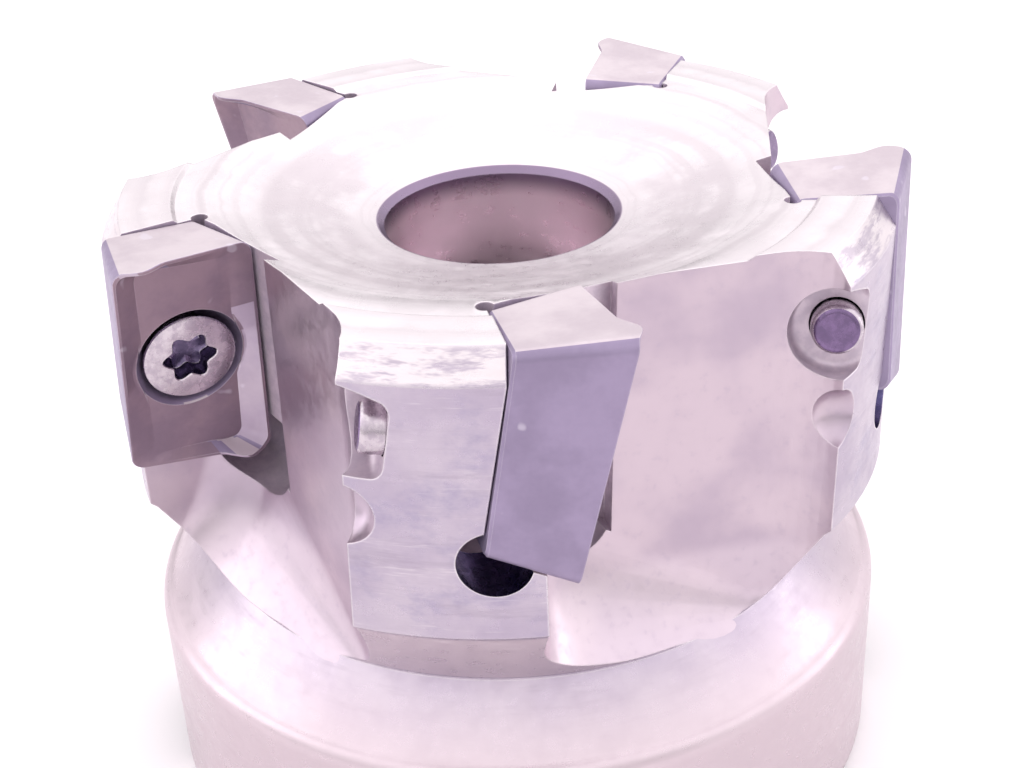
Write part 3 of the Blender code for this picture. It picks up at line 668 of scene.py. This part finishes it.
def hole_ring(outline, radius, height):
    depth = -ISLAND_DROP - height
    x = insert_centre()[0] + SCREW_LEAN * depth
    y = insert_centre()[1]
    ring = []
    for u, v in outline:
        a = atan2(v * INSERT_WIDTH, u * INSERT_LENGTH)
        ring.append((x - radius * cos(a), y + radius * sin(a), height))
    return ring


def clear_of_hole(point, radius):
    centre = insert_centre()
    x = point[0] - centre[0]
    y = point[1] - centre[1]
    stretch = max(1.0, radius / sqrt(x * x + y * y))
    return (centre[0] + x * stretch, centre[1] + y * stretch, point[2])


def insert_sections(top):
    """Insets from the sides and ends, and heights, from the seat up to the flat middle."""
    foot = RELIEF * INSERT_THICKNESS
    seat = -INSERT_THICKNESS
    edge = -RELIEF * top
    sections = [(foot + FOOT_CHAMFER, foot + FOOT_CHAMFER, seat),
                (foot, foot, seat + FOOT_CHAMFER)]
    for i in range(HONE_STEPS + 1):
        a = i / HONE_STEPS * pi / 2
        move = edge + HONE_RADIUS * (1 - cos(a))
        sections.append((move, move, top - HONE_RADIUS * (1 - sin(a))))
    land = edge + EDGE_LAND
    sections.append((land, land, top))
    for share in (FACET_END, 1.0):
        sections.append((land + (SIDE_FACET_WIDTH - EDGE_LAND) * share,
                         land + (END_FACET_WIDTH - EDGE_LAND) * share,
                         top + (-ISLAND_DROP - top) * share))
    return sections


def insert_mesh():
    """Flanks with a chamfered foot, a honed edge with a narrow land, facets down to the flat
    middle and a countersink."""
    outline = insert_outline()
    seat = -INSERT_THICKNESS
    countersink_radius = HEAD_RADIUS + HEAD_CLEARANCE
    hole_radius = SHANK_RADIUS + FIT
    cone_depth = (countersink_radius - hole_radius) / tan(HEAD_CONE)
    columns = [[insert_point(u, v, *section) for section in insert_sections(edge_height(u, v))]
               for u, v in outline]
    rings = [list(ring) for ring in zip(*columns)]
    rim = countersink_radius + ISLAND_RIM
    rings[-2] = [clear_of_hole(point, rim + ISLAND_RIM) for point in rings[-2]]
    rings[-1] = [clear_of_hole(point, rim) for point in rings[-1]]
    rings = [
        hole_ring(outline, hole_radius, seat + FOOT_CHAMFER),
        hole_ring(outline, hole_radius + FOOT_CHAMFER, seat),
        *rings,
        hole_ring(outline, countersink_radius + COUNTERSINK_CHAMFER / 2, -ISLAND_DROP),
        hole_ring(outline, countersink_radius, -ISLAND_DROP - COUNTERSINK_CHAMFER),
        hole_ring(outline, hole_radius, -ISLAND_DROP - cone_depth),
    ]
    return shaded(loft_mesh("insert", rings, closed_round=True), INSERT_SMOOTH)


# Screw
def thread_radius(angle, height, start, end):
    """Radius of the screw's thread, a helix of flat-sided grooves that runs out at both ends."""
    turn = (height / THREAD_PITCH + angle / (2 * pi)) % 1.0
    groove = 1 - abs(2 * turn - 1)
    inside = min(start - height, height - end) / THREAD_RUNOUT
    cut = min(1.0, groove * THREAD_STEEPNESS)
    return SHANK_RADIUS - THREAD_DEPTH * min(1.0, max(0.0, inside)) * cut


def screw_mesh():
    """A countersunk screw with a six-lobe recess and a threaded shank."""
    count = RECESS_LOBES * STEPS_PER_LOBE
    angles = [2 * pi * i / count for i in range(count)]
    cone_depth = (HEAD_RADIUS - SHANK_RADIUS) / tan(HEAD_CONE)

    def lobed(growth, height):
        ring = []
        for a in angles:
            radius = RECESS_RADIUS + growth - RECESS_WAVE * (1 - cos(RECESS_LOBES * a))
            ring.append((radius * cos(a), radius * sin(a), height))
        return ring

    def circle(radius, height):
        return [(radius * cos(a), radius * sin(a), height) for a in angles]

    rings = [
        lobed(-RECESS_TAPER - RECESS_FLOOR, -RECESS_DEPTH),
        lobed(-RECESS_TAPER, -RECESS_DEPTH + RECESS_TAPER),
        lobed(0.0, -RECESS_RIM),
        lobed(RECESS_RIM, 0.0),
        circle(HEAD_RADIUS - HEAD_RIM, 0.0),
        circle(HEAD_RADIUS - HEAD_RIM / 3, -HEAD_RIM / 3),
        circle(HEAD_RADIUS, -HEAD_RIM),
    ]
    start = -HEAD_RIM - cone_depth
    end = -SCREW_LENGTH + SCREW_END_CHAMFER
    steps = round((start - end) / THREAD_PITCH * THREAD_STEPS)
    for i in range(steps + 1):
        height = start + (end - start) * i / steps
        ring = []
        for a in angles:
            radius = thread_radius(a, height, start, end + PILOT_LENGTH)
            ring.append((radius * cos(a), radius * sin(a), height))
        rings.append(ring)
    for radius, height in arc_points((SHANK_RADIUS - SCREW_END_CHAMFER, end), SCREW_END_CHAMFER,
                                     0.0, -pi / 2, SCREW_END_STEPS)[1:]:
        rings.append(circle(radius, height))
    return shaded(loft_mesh("insert_screw", rings), SCREW_SMOOTH)


def insert_face_slot(face):
    """Flank 0, rake face 1, end face 2, and 3 for the facet on the inner side; the end faces and
    the inner facets take lighter copies of the carbide that paint light on them.
    """
    if face.normal.z > sin(TOP_FACE_TILT):
        return 3 if face.normal.x < -sin(FACET_TILT) else 1
    return 2 if abs(face.normal.y) > sin(END_FACE_TILT) else 0


def screw_face_slot(face):
    """Steel 0, the flat end 1 and the recess 2; the end and the recess take dark colours that
    paint shade and a dark reflection.
    """
    height = face.center.z
    if height < -SCREW_LENGTH + SCREW_END_BAND:
        return 1
    in_recess = -RECESS_DEPTH - RECESS_TAPER < height < -RECESS_RIM
    return 2 if in_recess and face.center.xy.length < RECESS_RADIUS else 0


def set_finishes(mesh, finishes, face_slot):
    mesh.materials.clear()
    for finish in finishes:
        mesh.materials.append(finish)
    for face in mesh.polygons:
        face.material_index = face_slot(face)


def add_teeth_pieces(insert_finishes, screw_finishes):
    insert = insert_mesh()
    set_finishes(insert, insert_finishes, insert_face_slot)
    screw = screw_mesh()
    set_finishes(screw, screw_finishes, screw_face_slot)
    for index in range(TEETH):
        number = str(index + 1)
        for label, node, mesh, matrix, slot in (
                ("carbide_insert_", "insert_", insert, insert_frame(index), "coated_carbide"),
                ("six_lobe_screw_", "insert_screw_", screw, screw_frame(index), "screw_steel")):
            own = mesh.copy()
            own.transform(matrix)
            piece = bpy.data.objects.new(label + number, own)
            bpy.context.scene.collection.objects.link(piece)
            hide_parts(node + number)
            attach(piece, "root")


# Finishes
class Finish:
    """A Principled material under construction, with short calls for its nodes."""

    def __init__(self, name):
        self.material = bpy.data.materials.new(name)
        self.material.use_nodes = True
        self.tree = self.material.node_tree
        self.shader = self.tree.nodes["Principled BSDF"]
        self.place = self.node("ShaderNodeTexCoord").outputs["Object"]

    def node(self, kind, **settings):
        made = self.tree.nodes.new(kind)
        for key, value in settings.items():
            setattr(made, key, value)
        return made

    def put(self, socket, value):
        if isinstance(value, bpy.types.NodeSocket):
            self.tree.links.new(value, socket)
        else:
            socket.default_value = value

    def math(self, operation, a, b=0.0, c=0.0):
        made = self.node("ShaderNodeMath", operation=operation)
        for index, value in enumerate((a, b, c)):
            self.put(made.inputs[index], value)
        return made.outputs[0]

    def times(self, a, b):
        return self.math('MULTIPLY', a, b)

    def stretch(self, scale):
        """The object's coordinates, drawn out where the scale is small."""
        made = self.node("ShaderNodeMapping")
        self.put(made.inputs["Vector"], self.place)
        made.inputs["Scale"].default_value = scale
        return made.outputs[0]

    def noise(self, scale, detail, roughness=0.55, source=None):
        made = self.node("ShaderNodeTexNoise")
        self.put(made.inputs["Vector"], source or self.place)
        made.inputs["Scale"].default_value = scale
        made.inputs["Detail"].default_value = detail
        made.inputs["Roughness"].default_value = roughness
        return made.outputs["Fac"]

    def span(self, value, low, high, to_low=0.0, to_high=1.0):
        """A value taken smoothly from one range to another."""
        made = self.node("ShaderNodeMapRange", interpolation_type='SMOOTHSTEP')
        for index, part in enumerate((value, low, high, to_low, to_high)):
            self.put(made.inputs[index], part)
        return made.outputs[0]

    def blend(self, share, first, second):
        """Two colours, each a socket or three numbers, mixed by a share."""
        made = self.node("ShaderNodeMix", data_type='RGBA')
        self.put(made.inputs[0], share)
        for socket, colour in ((made.inputs[6], first), (made.inputs[7], second)):
            self.put(socket, rgb(colour) if isinstance(colour, tuple) else colour)
        return made.outputs[2]

    def soft_edges(self, radius):
        """The surface's direction with its edges rounded by the radius."""
        made = self.node("ShaderNodeBevel", samples=6)
        self.put(made.inputs["Radius"], radius)
        return made.outputs[0]

    # Edge mask for lightening: partly wear, partly painted highlight.
    def edge_wear_and_highlight(self, radius):
        """Runs from 0 on flat metal to 1 where a rounded edge turns away within the radius."""
        plain = self.node("ShaderNodeNewGeometry")
        dot = self.node("ShaderNodeVectorMath", operation='DOT_PRODUCT')
        self.put(dot.inputs[0], self.soft_edges(radius))
        self.put(dot.inputs[1], plain.outputs["Normal"])
        return self.span(dot.outputs["Value"], 0.995, 0.9)

    def relief(self, height, strength, distance, normal=None):
        made = self.node("ShaderNodeBump")
        if normal is not None:
            self.put(made.inputs["Normal"], normal)
        made.inputs["Strength"].default_value = strength
        made.inputs["Distance"].default_value = distance
        self.put(made.inputs["Height"], height)
        return made.outputs[0]

    def surface(self, metallic, colour, roughness, normal):
        """Connects the shader and gives back the material."""
        self.shader.inputs["Metallic"].default_value = metallic
        self.put(self.shader.inputs["Base Color"], colour)
        self.put(self.shader.inputs["Roughness"], roughness)
        self.put(self.shader.inputs["Normal"], normal)
        return self.material


def rgb(colour):
    return (*colour, 1.0)


def axis_radius(finish):
    """Distance of a point from the tool's axis, and its height."""
    parts = finish.node("ShaderNodeSeparateXYZ")
    finish.put(parts.inputs[0], finish.place)
    square = finish.math('ADD', finish.math('POWER', parts.outputs[0], 2.0),
                         finish.math('POWER', parts.outputs[1], 2.0))
    return finish.math('SQRT', square), parts.outputs[2]


def ring_marks(finish, radius, height, pitch):
    """Fine turning marks: rings round the tool's axis, as a value from 0 to 1."""
    along = finish.math('ADD', radius, finish.times(height, 0.9))
    drift = finish.times(finish.noise(900.0, 2.0), 0.6)
    phase = finish.math('ADD', finish.times(along, 2 * pi / pitch), drift)
    return finish.math('MULTIPLY_ADD', finish.math('SINE', phase), 0.5, 0.5)


def land_colour(finish, radius, clouds, scratches):
    """Plating with soft clouds, blue patches, dull turning marks and light streaks."""
    side = finish.span(radius, *LAND_BLEND)
    colour = finish.blend(finish.span(clouds, 0.36, 0.66), *LAND_COLOURS)
    patches = finish.noise(380.0, 6.0, 0.66, finish.stretch((0.6, 0.6, 1.0)))
    blue = finish.times(finish.span(patches, 0.48, 0.72), side)
    colour = finish.blend(finish.times(blue, 0.75), colour, LAND_PATCH_COLOUR)
    marks = finish.noise(1500.0, 4.0, 0.7, finish.stretch((0.10, 0.10, 1.0)))
    colour = finish.blend(finish.times(finish.span(marks, 0.50, 0.72), 0.45), colour,
                          TURNING_MARK_COLOUR)
    streaks = finish.times(finish.span(scratches, 0.58, 0.72), side)
    return finish.blend(finish.times(streaks, 0.5), colour, LAND_STREAK_COLOUR)


def front_colour(finish, radius, clouds):
    """The bright front face with turned bands, and painted shade laid in patches over the dish.
    """
    bands = finish.node("ShaderNodeTexNoise", noise_dimensions='1D')
    bands.inputs["Scale"].default_value = 520.0
    bands.inputs["Detail"].default_value = 3.0
    finish.put(bands.inputs["W"],
               finish.math('ADD', radius, finish.times(clouds, BAND_WANDER)))
    colour = finish.blend(finish.span(clouds, 0.35, 0.65), *FRONT_COLOURS)
    colour = finish.blend(finish.span(bands.outputs["Fac"], 0.45, 0.65, 0.0, 0.75), colour,
                          FRONT_BAND_COLOUR)
    dish = finish.times(finish.span(radius, *DISH_INNER_BLEND),
                        finish.span(radius, *DISH_OUTER_BLEND))
    # Painted shade in the dish, in cloud-shaped patches.
    dish_painted_shade = finish.times(dish, finish.span(clouds, 0.42, 0.62, 0.25, 0.9))
    return finish.blend(dish_painted_shade, colour, DISH_PAINTED_SHADE_COLOUR)


def turned_steel():
    """Satin plated steel as turned, from the hub to the worn front chamfer and the bore, with
    painted light on the underside under the teeth, painted shade in the dish and at the bore's
    mouth, and edges lightened partly by wear and partly as painted highlight.
    """
    finish = Finish("satin_nickel_turned")
    radius, height = axis_radius(finish)
    clouds = finish.noise(170.0, 5.0, 0.62)
    mottle = finish.noise(900.0, 5.0, 0.68)
    scratches = finish.noise(1700.0, 4.0, 0.72, finish.stretch((0.07, 0.07, 1.0)))
    hub = finish.span(height, *HUB_BLEND)
    front = finish.times(finish.span(height, *FRONT_HEIGHT_BLEND),
                         finish.span(radius, *FRONT_RADIUS_BLEND))
    # Painted light on the underside below the land.
    underside_painted_light = finish.times(finish.span(height, *UNDERSIDE_LOW_BLEND),
                             finish.span(height, *UNDERSIDE_HIGH_BLEND))
    bore = finish.span(radius, *BORE_BLEND)
    # Painted shade at the mouth of the bore.
    bore_mouth_painted_shade = finish.times(bore, finish.span(height, *BORE_MOUTH_BLEND))
    chamfer = finish.times(finish.span(radius, *CHAMFER_RADIUS_BLEND),
                           finish.span(height, *CHAMFER_HEIGHT_BLEND))
    flecks = finish.noise(1300.0, 4.0, 0.75, finish.stretch((0.18, 0.18, 1.0)))

    colour = land_colour(finish, radius, clouds, scratches)
    colour = finish.blend(hub, colour, finish.blend(clouds, *HUB_COLOURS))
    colour = finish.blend(front, colour, front_colour(finish, radius, clouds))
    colour = finish.blend(underside_painted_light, colour, UNDERSIDE_PAINTED_LIGHT_COLOUR)
    colour = finish.blend(bore, colour, finish.blend(clouds, *BORE_COLOURS))
    colour = finish.blend(bore_mouth_painted_shade, colour, BORE_MOUTH_PAINTED_SHADE_COLOUR)
    rubbed = finish.times(chamfer, finish.span(flecks, 0.62, 0.46, 0.1, 1.0))
    colour = finish.blend(rubbed, colour, CHAMFER_COLOUR)
    wear_and_highlight = finish.times(finish.edge_wear_and_highlight(TURNED_WEAR_AND_HIGHLIGHT_REACH),
                        finish.span(hub, 0.0, 1.0, 0.7, 0.1))
    wear_and_highlight = finish.times(wear_and_highlight, finish.span(bore, 0.0, 1.0, 1.0, 0.1))
    colour = finish.blend(wear_and_highlight, colour, TURNED_WEAR_AND_HIGHLIGHT_COLOUR)

    roughness = finish.math('ADD', finish.span(mottle, 0.35, 0.7, 0.26, 0.38),
                            finish.span(scratches, 0.45, 0.7, 0.0, 0.08))
    rings = ring_marks(finish, radius, height, TURNING_PITCH)
    relief = finish.math('ADD', finish.times(rings, 0.3),
                         finish.times(mottle, finish.span(chamfer, 0.0, 1.0, 0.9, 3.0)))
    relief = finish.math('ADD', relief, finish.times(scratches, 0.6))
    relief = finish.times(relief, finish.span(bore, 0.0, 1.0, 1.0, 0.03))
    edges = finish.soft_edges(finish.span(hub, 0.0, 1.0, HEAD_EDGE_RADIUS, HUB_EDGE_RADIUS))
    normal = finish.relief(relief, 0.35, RELIEF_DEPTH, edges)
    return finish.surface(1.0, colour, roughness, normal)


def milled_steel():
    """The gullets' smooth milled and plated walls, with soft clouds, faint cutter marks and
    painted light towards their foot.
    """
    finish = Finish("satin_nickel_milled")
    height = axis_radius(finish)[1]
    clouds = finish.noise(120.0, 4.0, 0.5)
    fine = finish.noise(1500.0, 3.0, 0.6)
    marks = finish.noise(420.0, 2.0, 0.5, finish.stretch((0.15, 0.15, 1.0)))
    colour = finish.blend(finish.span(clouds, 0.38, 0.62), *MILLED_COLOURS)
    # Painted light below the foot of the land.
    colour = finish.blend(finish.span(height, *GULLET_FOOT_BLEND, 0.0, 0.4), colour,
                          GULLET_FOOT_PAINTED_LIGHT_COLOUR)
    colour = finish.blend(finish.span(fine, 0.55, 0.75, 0.0, 0.3), colour,
                          MILLED_SPECK_COLOUR)
    wear_and_highlight = finish.times(finish.edge_wear_and_highlight(MILLED_WEAR_AND_HIGHLIGHT_REACH), 0.4)
    colour = finish.blend(wear_and_highlight, colour, MILLED_WEAR_AND_HIGHLIGHT_COLOUR)
    roughness = finish.span(fine, 0.35, 0.7, 0.30, 0.38)
    relief = finish.math('ADD', finish.times(marks, 0.8), fine)
    normal = finish.relief(relief, 0.15, RELIEF_DEPTH, finish.soft_edges(HEAD_EDGE_RADIUS))
    return finish.surface(1.0, colour, roughness, normal)


def pocket_steel():
    """The duller walls of the pockets and of the recesses at the screws' ends."""
    finish = Finish("satin_nickel_pocket")
    fine = finish.noise(1300.0, 4.0, 0.6)
    colour = finish.blend(finish.span(fine, 0.35, 0.65), *POCKET_COLOURS)
    wear_and_highlight = finish.times(finish.edge_wear_and_highlight(POCKET_WEAR_AND_HIGHLIGHT_REACH), 0.3)
    colour = finish.blend(wear_and_highlight, colour, POCKET_WEAR_AND_HIGHLIGHT_COLOUR)
    roughness = finish.span(fine, 0.35, 0.7, 0.38, 0.48)
    normal = finish.relief(fine, 0.2, RELIEF_DEPTH, finish.soft_edges(POCKET_EDGE_RADIUS))
    return finish.surface(0.6, colour, roughness, normal)


def coated_carbide(name, colours):
    """Coated carbide: fine grain, faint clouds, a few light specks and bright edges, partly wear
    and partly painted highlight.
    """
    finish = Finish(name)
    grain = finish.noise(2600.0, 3.0, 0.6)
    clouds = finish.noise(240.0, 4.0, 0.6)
    colour = finish.blend(finish.span(clouds, 0.35, 0.65), *colours)
    specks = finish.span(finish.noise(700.0, 1.0, 0.4), 0.73, 0.78, 0.0, 0.4)
    colour = finish.blend(specks, colour, CARBIDE_SPECK_COLOUR)
    wear_and_highlight = finish.times(finish.edge_wear_and_highlight(FINE_WEAR_AND_HIGHLIGHT_REACH), 0.45)
    colour = finish.blend(wear_and_highlight, colour, CARBIDE_WEAR_AND_HIGHLIGHT_COLOUR)
    roughness = finish.span(grain, 0.3, 0.7, 0.38, 0.5)
    normal = finish.relief(grain, 0.25, CARBIDE_RELIEF_DEPTH)
    return finish.surface(0.6, colour, roughness, normal)


def bare_steel(name, colours):
    """Bare steel with a fine scratched grain, for the screws and the drilled holes."""
    finish = Finish(name)
    fine = finish.noise(1800.0, 4.0, 0.65)
    colour = finish.blend(finish.span(fine, 0.35, 0.65), *colours)
    wear_and_highlight = finish.times(finish.edge_wear_and_highlight(FINE_WEAR_AND_HIGHLIGHT_REACH), 0.6)
    colour = finish.blend(wear_and_highlight, colour, BARE_WEAR_AND_HIGHLIGHT_COLOUR)
    roughness = finish.span(fine, 0.35, 0.7, 0.22, 0.34)
    normal = finish.relief(fine, 0.3, BARE_RELIEF_DEPTH)
    return finish.surface(1.0, colour, roughness, normal)


# Surroundings
def build_floor():
    mesh = bpy.data.meshes.new("floor")
    bm = bmesh.new()
    bmesh.ops.create_grid(bm, x_segments=4, y_segments=4, size=FLOOR_HALF_WIDTH)
    bm.to_mesh(mesh)
    bm.free()
    floor = bpy.data.objects.new("floor", mesh)
    bpy.context.scene.collection.objects.link(floor)
    finish = Finish("pale_floor")
    grain = finish.noise(60.0, 3.0)
    finish.put(finish.shader.inputs["Base Color"], finish.blend(grain, *FLOOR_COLOURS))
    finish.shader.inputs["Roughness"].default_value = 0.7
    finish.shader.inputs["Specular IOR Level"].default_value = 0.1
    mesh.materials.append(finish.material)


def build_world():
    """A soft tent of light, its strength the sum of the ramps in SKY_RAMPS."""
    world = bpy.data.worlds.new("studio")
    bpy.context.scene.world = world
    world.use_nodes = True
    tree = world.node_tree
    background = tree.nodes["Background"]
    place = tree.nodes.new("ShaderNodeTexCoord")
    parts = tree.nodes.new("ShaderNodeSeparateXYZ")
    tree.links.new(place.outputs["Generated"], parts.inputs[0])
    strength = None
    for axis, low, high, dim, bright in SKY_RAMPS:
        ramp = tree.nodes.new("ShaderNodeMapRange")
        ramp.interpolation_type = 'SMOOTHSTEP'
        ramp.inputs["From Min"].default_value = low
        ramp.inputs["From Max"].default_value = high
        ramp.inputs["To Min"].default_value = dim
        ramp.inputs["To Max"].default_value = bright
        tree.links.new(parts.outputs[axis], ramp.inputs["Value"])
        if strength is None:
            strength = ramp.outputs[0]
            continue
        added = tree.nodes.new("ShaderNodeMath")
        tree.links.new(strength, added.inputs[0])
        tree.links.new(ramp.outputs[0], added.inputs[1])
        strength = added.outputs[0]
    tree.links.new(strength, background.inputs["Strength"])
    background.inputs["Color"].default_value = rgb(SKY_COLOUR)


def add_light(name, place, target, size, power, colour):
    light = bpy.data.lights.new(name, 'AREA')
    light.shape = 'DISK'
    light.size = size
    light.energy = power
    light.color = colour
    item = bpy.data.objects.new(name, light)
    item.location = place
    item.rotation_euler = (Vector(target) - Vector(place)).to_track_quat('-Z', 'Y').to_euler()
    bpy.context.scene.collection.objects.link(item)


def build_camera():
    camera = bpy.data.cameras.new("view")
    camera.lens = CAMERA_LENS
    camera.sensor_width = CAMERA_SENSOR
    camera.sensor_fit = 'HORIZONTAL'
    camera.clip_start = 0.005
    camera.clip_end = 20.0
    item = bpy.data.objects.new("view", camera)
    item.location = CAMERA_PLACE
    item.rotation_euler = CAMERA_TURN
    bpy.context.scene.collection.objects.link(item)
    bpy.context.scene.camera = item


# The drilled holes take bare steel in dark colours that paint the shade inside them.
build_body(turned_steel(), milled_steel(), pocket_steel(),
           bare_steel("drilled_steel_painted_shade", HOLE_PAINTED_SHADE_COLOURS))
# The inserts' end faces and inner facets take lighter carbide colours that paint light.
add_teeth_pieces([coated_carbide("carbide_flank", FLANK_COLOURS),
                  coated_carbide("carbide_rake", RAKE_COLOURS),
                  coated_carbide("carbide_end_painted_light", CARBIDE_END_PAINTED_LIGHT_COLOURS),
                  coated_carbide("carbide_facet_painted_light", FACET_PAINTED_LIGHT_COLOURS)],
                 # The screws' ends and recesses take dark colours that paint shade.
                 [bare_steel("screw_steel", SCREW_COLOURS),
                  bare_steel("screw_end_painted_shade", SCREW_END_PAINTED_SHADE_COLOURS),
                  bare_steel("screw_recess_painted_shade", RECESS_PAINTED_SHADE_COLOURS)])
build_floor()
build_world()
for light_settings in LIGHTS:
    add_light(*light_settings)
build_camera()
bpy.context.scene.view_settings.view_transform = 'Standard'
